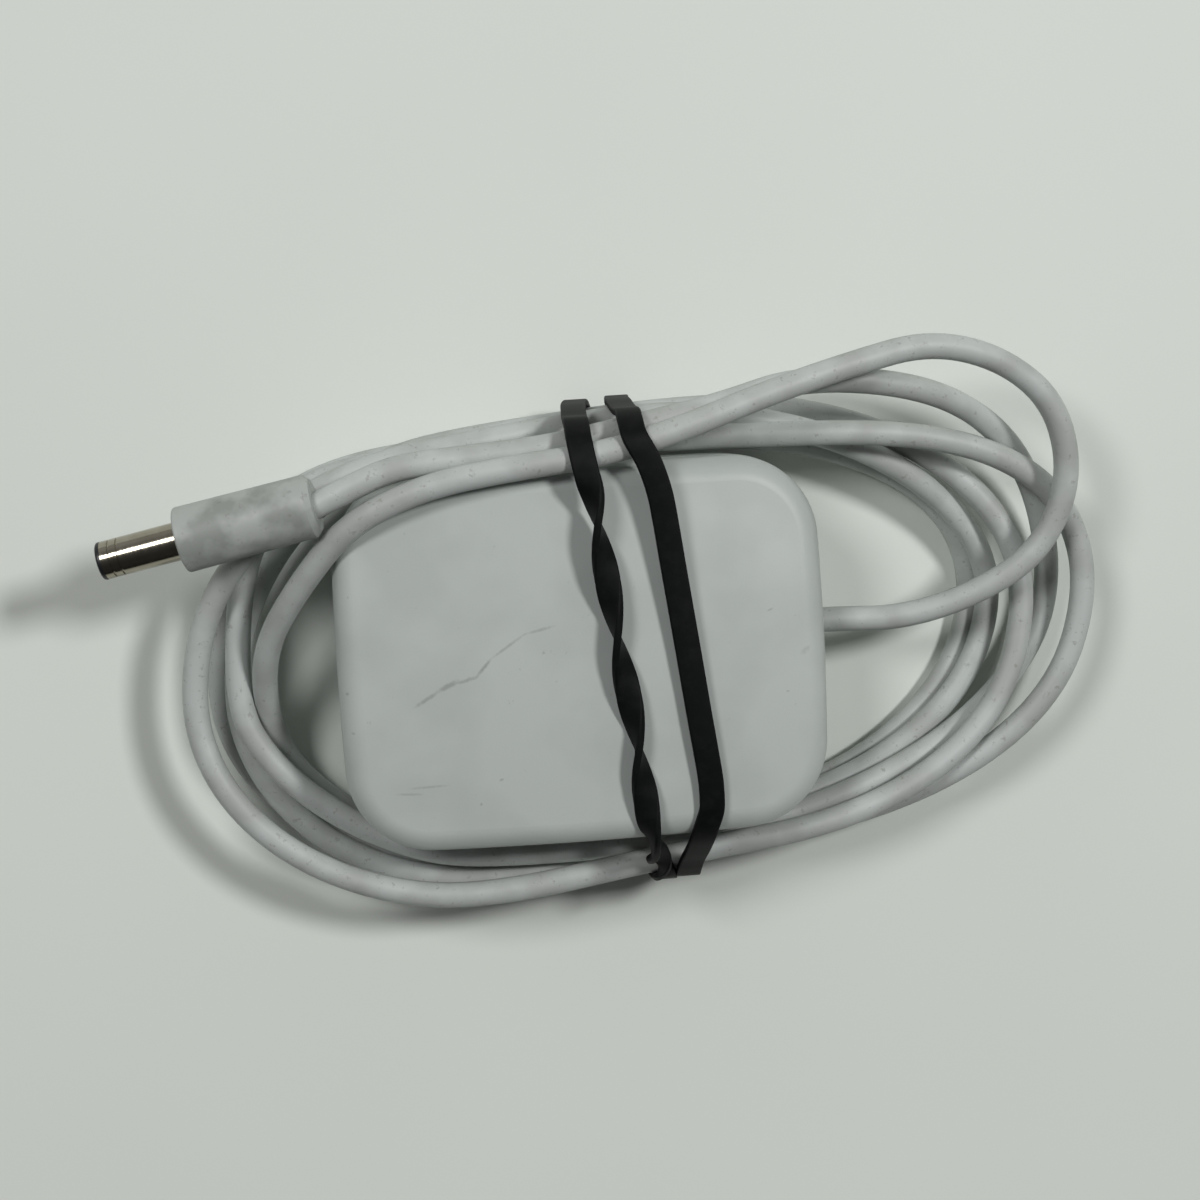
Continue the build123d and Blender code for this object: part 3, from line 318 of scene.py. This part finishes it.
# Pressed ferrite: dark grey, dull
pressedFerrite = drawnMetal("pressedFerrite", {
    "bright": "#3F4042", "stained": "#323335", "lineScale": (1, 1, 1),
    "lineSize": 0.2, "roughness": 0.55,
})
# Glossy dipped or shrunk skins on the discs, cans and wires
discEpoxy = mouldedPlastic("discEpoxy", {
    **filmLook, "clean": "#2D5C9B", "grubby": "#264F88",
    "fleck": "#1B3A66", "roughness": 0.25,
})
canSleeve = mouldedPlastic("canSleeve", {
    **filmLook, "clean": "#1B2A4A", "grubby": "#17233D",
    "fleck": "#3A465F", "roughness": 0.22,
})
wireSleeve = mouldedPlastic("wireSleeve", {
    **filmLook, "clean": "#8E1E1A", "grubby": "#7C1815",
    "fleck": "#5A120F", "roughness": 0.35,
})
boardLaminate = mouldedPlastic("boardLaminate", {
    **filmLook, "clean": "#2B6A41", "grubby": "#235A37",
    "fleck": "#8FA38C", "roughness": 0.3,
})

nodeFinishes = {
    frontPolycarbonate: ["front_cover"],
    coverPolycarbonate: ["rear_cover"],
    hubAcetal: ["blade_hub", "blade_retainer"],
    bladeNickel: ["blade_live", "blade_neutral"],
    springBronze: ["contact_spring_live", "contact_spring_neutral"],
    boardLaminate: ["circuit_board"],
    blackNylon: ["plug_insulator", "mains_fuse", "bridge_rectifier", "switching_controller",
                 "transformer_bobbin", "optocoupler", "output_rectifier"],
    discEpoxy: ["surge_varistor", "y_capacitor"],
    filmCase: ["x_capacitor"],
    copperWire: ["line_choke", "transformer_winding"],
    canSleeve: ["bulk_capacitor_1", "bulk_capacitor_2",
                "output_capacitor_1", "output_capacitor_2"],
    pressedFerrite: ["transformer_core", "output_choke"],
    barrierAramid: ["insulation_barrier"],
    wireSleeve: ["output_leads"],
    cordElastomer: ["cord_grommet"],
    gripElastomer: ["plug_housing"],
    plugNickel: ["plug_barrel", "plug_inner_contact"],
}
for material, names in nodeFinishes.items():
    for name in names:
        mesh = nodes[name].data
        mesh.materials.clear()
        mesh.materials.append(material)
print("finishes on the carried-over nodes")


# Cord: from the grommet out and over the top, five turns round the casing, then to the plug.
# "start" is where the turns begin: how far to the near side, and how high
cord = {
    "diameter": 3.3, "length": 1510.0, "exit": (31.0, 1.0, 13.2), "start": (26.4, 3.2),
    "stepsPerQuarter": 4, "leftFallLag": 1.4, "stepsPerPoint": 8, "roundSteps": 5,
}
cordLeadPoints = [
    (26.4, 1.0, 13.2), (34.0, 1.0, 13.2), (42.7, 0.5, 13.6), (52.0, 2.8, 14.5), (61.0, 7.8, 15.7),
    (65.6, 17.1, 16.8), (63.7, 27.4, 18.6), (56.4, 33.9, 20.4), (46.4, 36.7, 22.4),
    (35.5, 34.4, 24.7), (24.9, 31.6, 26.7), (14.4, 28.1, 28.0), (3.7, 25.3, 28.7),
    (-8.1, 24.3, 29.0), (-18.9, 22.7, 29.0), (-28.4, 18.6, 27.6), (-34.9, 11.0, 22.6),
    (-39.9, 3.1, 16.3), (-40.9, -5.3, 10.3), (-38.8, -13.9, 5.3), (-33.2, -20.3, 2.6),
    (-25.6, -25.2, 1.8), (-11.9, -26.4, 2.5),
]
cordTailPoints = [
    (18.8, 30.1, 23.1), (7.2, 28.1, 24.6), (-3.3, 26.3, 25.6), (-13.9, 25.7, 26.4),
    (-22.3, 25.2, 27.0), (-28.3, 22.8, 27.2), (-33.6, 20.4, 26.8),
]
# Each turn: right reach and height, and where its upper curve starts; upper side at its right and
# left ends (y, z); left reach and height; lower side at its left and right ends (y, z); how full
# the upper right, lower right, upper left and lower left corners are
cordTurns = [
    ((55.7, 1.7), 12, (26.2, 3.1), (26.2, 3.3), (47.4, 1.9), (29.2, 4.6), (26.3, 6.9),
     (2.23, 2.01, 2.71, 2.01)),
    ((57.7, 4.3), 12, (29.6, 13.1), (27.3, 19.4), (50.3, 11.9), (32.5, 14.7), (28.3, 14.8),
     (1.85, 2.05, 2.08, 2.01)),
    ((61.1, 9.3), 20, (29.9, 6.0), (27.4, 6.6), (45.1, 5.9), (31.5, 8.2), (29.0, 8.4),
     (1.96, 2.27, 1.96, 1.98)),
    ((69.1, 10.6), 30, (25.9, 14.8), (26.1, 13.2), (44.4, 11.0), (27.5, 12.3), (27.3, 11.8),
     (2.44, 2.17, 3.16, 1.64)),
]
# The last turn ends on its right upper curve, where the tail takes over
lastTurn = ((65.8, 4.3), 30, (33.1, 20.2), (2.37, 1.84))
turnCentre = {
    "right": 3.0, "left": -5.0, "lowerRight": 12.0, "upperLeft": -12.0, "lowerLeft": -14.0,
}


def quarterTurn(centre, reach, heights, signs, fullness, towardEnd, lag=1.0):
    # a quarter of a superellipse: towardEnd runs from the long side to the end, else back again
    steps = cord["stepsPerQuarter"]
    points = []
    for i in range(steps + 1):
        share = i / steps
        angle = (1 - share if towardEnd else share) * math.pi / 2
        x = centre[0] + signs[0] * reach[0] * abs(math.cos(angle)) ** (2 / fullness)
        y = centre[1] + signs[1] * reach[1] * abs(math.sin(angle)) ** (2 / fullness)
        ease = (1 - math.cos(math.pi * share ** lag)) / 2
        points.append((x, y, heights[0] + (heights[1] - heights[0]) * ease))
    return points


def rightHalf(start, right, upperRight, top, full):
    # from the lower side round the right reach to the upper side
    midRight, lowerRight = turnCentre["right"], turnCentre["lowerRight"]
    outward = quarterTurn((lowerRight, midRight), (right[0] - lowerRight, start[0] + midRight),
                          (start[1], right[1]), (1, -1), full[1], True)
    inward = quarterTurn((upperRight, midRight), (right[0] - upperRight, top[0] - midRight),
                         (right[1], top[1]), (1, 1), full[0], False)
    return outward + inward[1:]


def leftHalf(top, left, low, full):
    # from the upper side round the left reach to the lower side
    midLeft = turnCentre["left"]
    upperLeft, lowerLeft = turnCentre["upperLeft"], turnCentre["lowerLeft"]
    outward = quarterTurn((upperLeft, midLeft), (left[0] + upperLeft, top[0] - midLeft),
                          (top[1], left[1]), (-1, 1), full[2], True, cord["leftFallLag"])
    inward = quarterTurn((lowerLeft, midLeft), (left[0] + lowerLeft, low[0] + midLeft),
                         (left[1], low[1]), (-1, -1), full[3], False)
    return outward + inward[1:]


def coilPoints():
    start = cord["start"]
    points = []
    for right, upperRight, topRight, topLeft, left, lowLeft, lowRight, full in cordTurns:
        points += rightHalf(start, right, upperRight, topRight, full)
        points += leftHalf(topLeft, left, lowLeft, full)
        start = lowRight
    return points + rightHalf(start, *lastTurn)


route = metres(cordLeadPoints + coilPoints() + cordTailPoints)
cordCurve = bpy.data.curves.new("cordHank", "CURVE")
cordCurve.dimensions = "3D"
cordCurve.resolution_u = cord["stepsPerPoint"]
cordCurve.bevel_depth = cord["diameter"] / 2 / 1000
cordCurve.bevel_resolution = cord["roundSteps"]
cordCurve.use_fill_caps = True
spline = cordCurve.splines.new("NURBS")
spline.points.add(len(route) - 1)
for point, place in zip(spline.points, route):
    point.co = (*place, 1)
spline.order_u = 3
spline.use_endpoint_u = True
cordCurve.materials.append(cordElastomer)
cordHank = bpy.data.objects.new("cordHank", cordCurve)
bpy.context.scene.collection.objects.link(cordHank)
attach(cordHank, "casing")
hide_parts("cord_lead", "cord_coil", "cord_tail")
print("cord laid:", len(route), "points")


# Rubber band, doubled over casing and hank: two rings side by side, one of them twisted in front
band = {
    "width": 3.2, "thickness": 1.0, "edgeRadius": 0.28, "samplesPerSpan": 7, "edgeSteps": 4,
}
# Each point: x, y, z and the strip's turn in degrees about its own line. Both rings run from the
# far side over the face to the near side, then back under the casing
twistedRing = [
    (0.5, 29.3, 27.2, 0), (0.5, 27.5, 30.0, 0), (0.8, 25.1, 31.0, 0), (1.2, 22.9, 31.2, 6),
    (1.75, 20.4, 31.1, 42), (2.1, 17.1, 30.9, 90), (2.5, 13.7, 30.7, 135), (3.0, 10.1, 30.5, 180),
    (3.4, 6.5, 30.3, 225), (3.8, 2.8, 30.0, 270), (4.3, -0.8, 29.7, 315), (4.9, -4.4, 29.4, 360),
    (5.4, -8.0, 29.2, 405), (5.8, -11.6, 28.9, 450), (6.1, -15.0, 28.7, 495),
    (6.5, -18.4, 28.4, 540), (6.7, -21.2, 28.1, 575), (7.1, -23.5, 27.3, 605),
    (7.6, -25.3, 25.1, 632), (8.1, -26.5, 22.9, 680), (8.5, -27.5, 21.0, 722),
    (8.8, -28.3, 19.7, 765), (9.1, -29.1, 18.4, 810), (9.4, -30.1, 16.8, 858),
    (9.75, -31.0, 15.0, 895), (10.1, -31.7, 12.6, 900), (9.9, -31.9, 10.2, 902),
    (9.4, -31.6, 7.6, 925), (8.9, -30.9, 5.7, 965), (8.5, -30.1, 4.3, 1000),
    (8.0, -29.1, 2.8, 1045), (7.6, -27.9, 1.4, 1072), (7.2, -25.8, 0.88, 1080),
    (6.6, -22.0, 0.8, 1080), (6.2, -12.0, 0.8, 1080), (6.2, 0.0, 0.8, 1080), (6.2, 12.0, 0.8, 1080),
    (5.6, 18.8, 0.8, 1080), (4.9, 22.5, 0.82, 1080), (4.2, 25.8, 0.9, 1080), (3.5, 28.2, 2.0, 1080),
    (2.8, 30.2, 4.2, 1080), (2.3, 30.95, 6.8, 1080), (1.8, 30.95, 9.8, 1080),
    (1.4, 30.85, 13.2, 1080), (1.1, 30.75, 16.6, 1080), (0.8, 30.3, 20.6, 1080),
    (0.6, 29.7, 24.2, 1080),
]
flatRing = [
    (7.1, 30.2, 26.4, 0), (7.1, 29.2, 28.8, 0), (7.4, 27.3, 30.5, 0), (8.9, 24.2, 30.7, 0),
    (10.0, 20.6, 30.5, 0), (10.6, 17.0, 30.2, 0), (11.35, 11.0, 29.8, 0), (12.5, 2.0, 29.3, 0),
    (13.8, -8.4, 28.75, 0), (14.35, -12.5, 28.45, 0), (14.85, -16.5, 28.0, 0),
    (14.95, -19.4, 27.6, 0), (14.8, -20.8, 27.3, 0), (14.3, -22.5, 26.6, 0),
    (13.87, -24.4, 25.0, 0), (13.5, -26.4, 22.2, 0), (13.1, -28.3, 19.2, 0), (12.9, -29.9, 16.9, 0),
    (12.95, -31.0, 14.8, 0), (13.3, -31.4, 11.5, 0), (13.5, -31.4, 8.3, 0), (13.2, -30.6, 5.3, 0),
    (12.4, -29.2, 2.9, 0), (11.6, -27.7, 1.35, 0), (11.0, -25.4, 0.88, 0), (10.3, -21.0, 0.8, 0),
    (10.1, -10.0, 0.8, 0), (10.1, 2.0, 0.8, 0), (10.1, 12.0, 0.8, 0), (9.6, 18.8, 0.8, 0),
    (9.2, 22.5, 0.82, 0), (8.8, 25.8, 0.9, 0), (8.4, 28.3, 2.0, 0), (8.0, 30.4, 4.2, 0),
    (7.7, 31.2, 6.8, 0), (7.4, 31.15, 9.8, 0), (7.2, 31.15, 13.0, 0), (7.1, 31.0, 16.5, 0),
    (7.0, 30.6, 20.5, 0), (7.0, 30.35, 23.8, 0),
]
# Each ring with the degrees it turns in one lap
bandRings = [(twistedRing, 1080), (flatRing, 0)]


def closedSamples(ring, totalTwist):
    # uniform Catmull-Rom through the ring's points; a lap adds the whole twist, so the seam closes
    def knot(index):
        laps, place = divmod(index, len(ring))
        x, y, z, twist = ring[place]
        return Vector((x, y, z, twist + laps * totalTwist))

    samples = []
    for i in range(len(ring)):
        a, b, c, d = [knot(i + k - 1) for k in range(4)]
        for step in range(band["samplesPerSpan"]):
            t = step / band["samplesPerSpan"]
            square, cube = 2 * a - 5 * b + 4 * c - d, 3 * b - a - 3 * c + d
            samples.append(0.5 * (2 * b + (c - a) * t + square * t * t + cube * t ** 3))
    return samples


def ribbonTree():
    # sweeps a rounded strip along every closed line, its broad side facing the stored direction
    tree = bpy.data.node_groups.new("ribbon", "GeometryNodeTree")
    tree.interface.new_socket("Geometry", in_out="INPUT", socket_type="NodeSocketGeometry")
    sockets = {}
    for label in ("Width", "Thickness", "Edge Radius", "Rubber"):
        kind = "NodeSocketMaterial" if label == "Rubber" else "NodeSocketFloat"
        socket = tree.interface.new_socket(label, in_out="INPUT", socket_type=kind)
        sockets[label] = socket.identifier
    tree.interface.new_socket("Geometry", in_out="OUTPUT", socket_type="NodeSocketGeometry")
    given = addNode(tree, "NodeGroupInput").outputs
    line = addNode(tree, "GeometryNodeMeshToCurve", inputs={"Mesh": given["Geometry"]})
    facing = addNode(tree, "GeometryNodeInputNamedAttribute", {"data_type": "FLOAT_VECTOR"},
                     {"Name": "facing"})
    aimed = addNode(tree, "GeometryNodeSetCurveNormal", {"mode": "FREE"},
                    {"Curve": line.outputs["Curve"], "Normal": facing.outputs["Attribute"]})
    section = addNode(tree, "GeometryNodeCurvePrimitiveQuadrilateral",
                      inputs={"Width": given["Thickness"], "Height": given["Width"]})
    rounded = addNode(tree, "GeometryNodeFilletCurve", {"mode": "POLY"},
                      {"Curve": section.outputs["Curve"], "Count": band["edgeSteps"],
                       "Radius": given["Edge Radius"]})
    strip = addNode(tree, "GeometryNodeCurveToMesh",
                    inputs={"Curve": aimed.outputs["Curve"],
                            "Profile Curve": rounded.outputs["Curve"]})
    smooth = addNode(tree, "GeometryNodeSetShadeSmooth", inputs={"Geometry": strip.outputs["Mesh"]})
    real = addNode(tree, "GeometryNodeRealizeInstances",
                   inputs={"Geometry": smooth.outputs["Geometry"]})
    done = addNode(tree, "GeometryNodeSetMaterial",
                   inputs={"Geometry": real.outputs["Geometry"], "Material": given["Rubber"]})
    addNode(tree, "NodeGroupOutput", inputs={"Geometry": done.outputs["Geometry"]})
    return tree, sockets


def stripLine(name, rings):
    # one closed line of edges per ring, each vertex storing where the strip's broad side faces
    places, edges, facings = [], [], []
    for ring, totalTwist in rings:
        samples = closedSamples(ring, totalTwist)
        first = len(places)
        count = len(samples)
        for i, sample in enumerate(samples):
            ahead, behind = Vector(samples[(i + 1) % count][:3]), Vector(samples[i - 1][:3])
            along = (ahead - behind).normalized()
            side = Vector((1, 0, 0)) - along * along.x
            side.normalize()
            outward = side.cross(along)
            angle = math.radians(sample[3])
            facings.append(outward * math.cos(angle) + side * math.sin(angle))
            places.append(Vector(sample[:3]) / 1000)
            edges.append((first + i, first + (i + 1) % count))
    mesh = bpy.data.meshes.new(name)
    mesh.from_pydata(places, edges, [])
    stored = mesh.attributes.new("facing", "FLOAT_VECTOR", "POINT")
    for item, value in zip(stored.data, facings):
        item.vector = value
    return mesh


def makeBand():
    line = bpy.data.objects.new("bandLine", stripLine("bandLine", bandRings))
    bpy.context.scene.collection.objects.link(line)
    tree, sockets = ribbonTree()
    sweep = line.modifiers.new("ribbon", "NODES")
    sweep.node_group = tree
    sweep[sockets["Width"]] = band["width"] / 1000
    sweep[sockets["Thickness"]] = band["thickness"] / 1000
    sweep[sockets["Edge Radius"]] = band["edgeRadius"] / 1000
    sweep[sockets["Rubber"]] = bandRubber
    bpy.context.view_layer.update()
    ready = line.evaluated_get(bpy.context.evaluated_depsgraph_get())
    mesh = bpy.data.meshes.new_from_object(ready)
    piece = bpy.data.objects.new("rubberBand", mesh)
    bpy.context.scene.collection.objects.link(piece)
    bpy.data.objects.remove(line)
    return piece


rubberBand = makeBand()
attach(rubberBand, "casing")
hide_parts("rubber_band")
print("band wound:", len(rubberBand.data.polygons), "faces")


# Table top and light: two soft round lamps high beyond the far side, and a dim room that is
# brighter low down and on its far side
studio = {
    "table": "#DFE4DD", "tableShade": "#DADFD8", "hazeScale": 0.02, "tableRoughness": 0.6,
    "tableHalf": 3, "roomSide": 0.19, "roomTop": 0.07, "sideUpTo": 0.25, "topFrom": 0.85,
    "roomTilt": 0.9,
}
lamps = {
    "lampRight": {"distance": 1.1, "azimuth": 31.0, "elevation": 56.0, "size": 0.18, "watts": 5.8},
    "lampLeft": {"distance": 1.1, "azimuth": 139.0, "elevation": 56.0, "size": 0.3, "watts": 4.0},
}
# Painted table top: pale and faintly greenish, with one broad and very slight change of shade
tableMaterial, tableTree, tableShader, tableSpot = newMaterial("tableTop")
haze = addNode(tableTree, "ShaderNodeTexNoise",
               inputs={"Vector": tableSpot, "Scale": studio["hazeScale"], "Detail": 1.0})
wash = addNode(tableTree, "ShaderNodeMix", {"data_type": "RGBA"},
               {"Factor": haze.outputs["Fac"], "A": toLinear(studio["table"]),
                "B": toLinear(studio["tableShade"])})
tableTree.links.new(wash.outputs["Result"], tableShader.inputs["Base Color"])
tableShader.inputs["Roughness"].default_value = studio["tableRoughness"]
half = studio["tableHalf"]
tableMesh = bpy.data.meshes.new("tableTop")
tableMesh.from_pydata([(-half, -half, 0), (half, -half, 0), (half, half, 0), (-half, half, 0)],
                      [], [(0, 1, 2, 3)])
tableMesh.materials.append(tableMaterial)
table = bpy.data.objects.new("tableTop", tableMesh)
bpy.context.scene.collection.objects.link(table)

world = bpy.data.worlds.new("studio")
world.use_nodes = True
room = world.node_tree
looking = addNode(room, "ShaderNodeTexCoord").outputs["Generated"]
toward = addNode(room, "ShaderNodeSeparateXYZ", inputs={0: looking})
level = addNode(room, "ShaderNodeMapRange", {"interpolation_type": "SMOOTHSTEP"},
                {"Value": toward.outputs["Z"], "From Min": studio["sideUpTo"],
                 "From Max": studio["topFrom"], "To Min": studio["roomSide"],
                 "To Max": studio["roomTop"]})
tilt = addNode(room, "ShaderNodeMath", {"operation": "MULTIPLY_ADD"},
               {0: toward.outputs["Y"], 1: studio["roomTilt"], 2: 1.0})
strength = addNode(room, "ShaderNodeMath", {"operation": "MULTIPLY"},
                   {0: level.outputs[0], 1: tilt.outputs[0]})
background = room.nodes["Background"]
room.links.new(strength.outputs[0], background.inputs["Strength"])
background.inputs["Color"].default_value = (1, 1, 1, 1)
bpy.context.scene.world = world

for name, lamp in lamps.items():
    data = bpy.data.lights.new(name, "AREA")
    data.shape = "DISK"
    data.size = lamp["size"]
    data.energy = lamp["watts"]
    azimuth, elevation = math.radians(lamp["azimuth"]), math.radians(lamp["elevation"])
    direction = Vector((math.cos(elevation) * math.cos(azimuth),
                        math.cos(elevation) * math.sin(azimuth), math.sin(elevation)))
    holder = bpy.data.objects.new(name, data)
    holder.location = direction * lamp["distance"]
    holder.rotation_euler = direction.to_track_quat("Z", "Y").to_euler()
    bpy.context.scene.collection.objects.link(holder)
bpy.context.scene.view_settings.view_transform = "Standard"
print("table and lamps set")
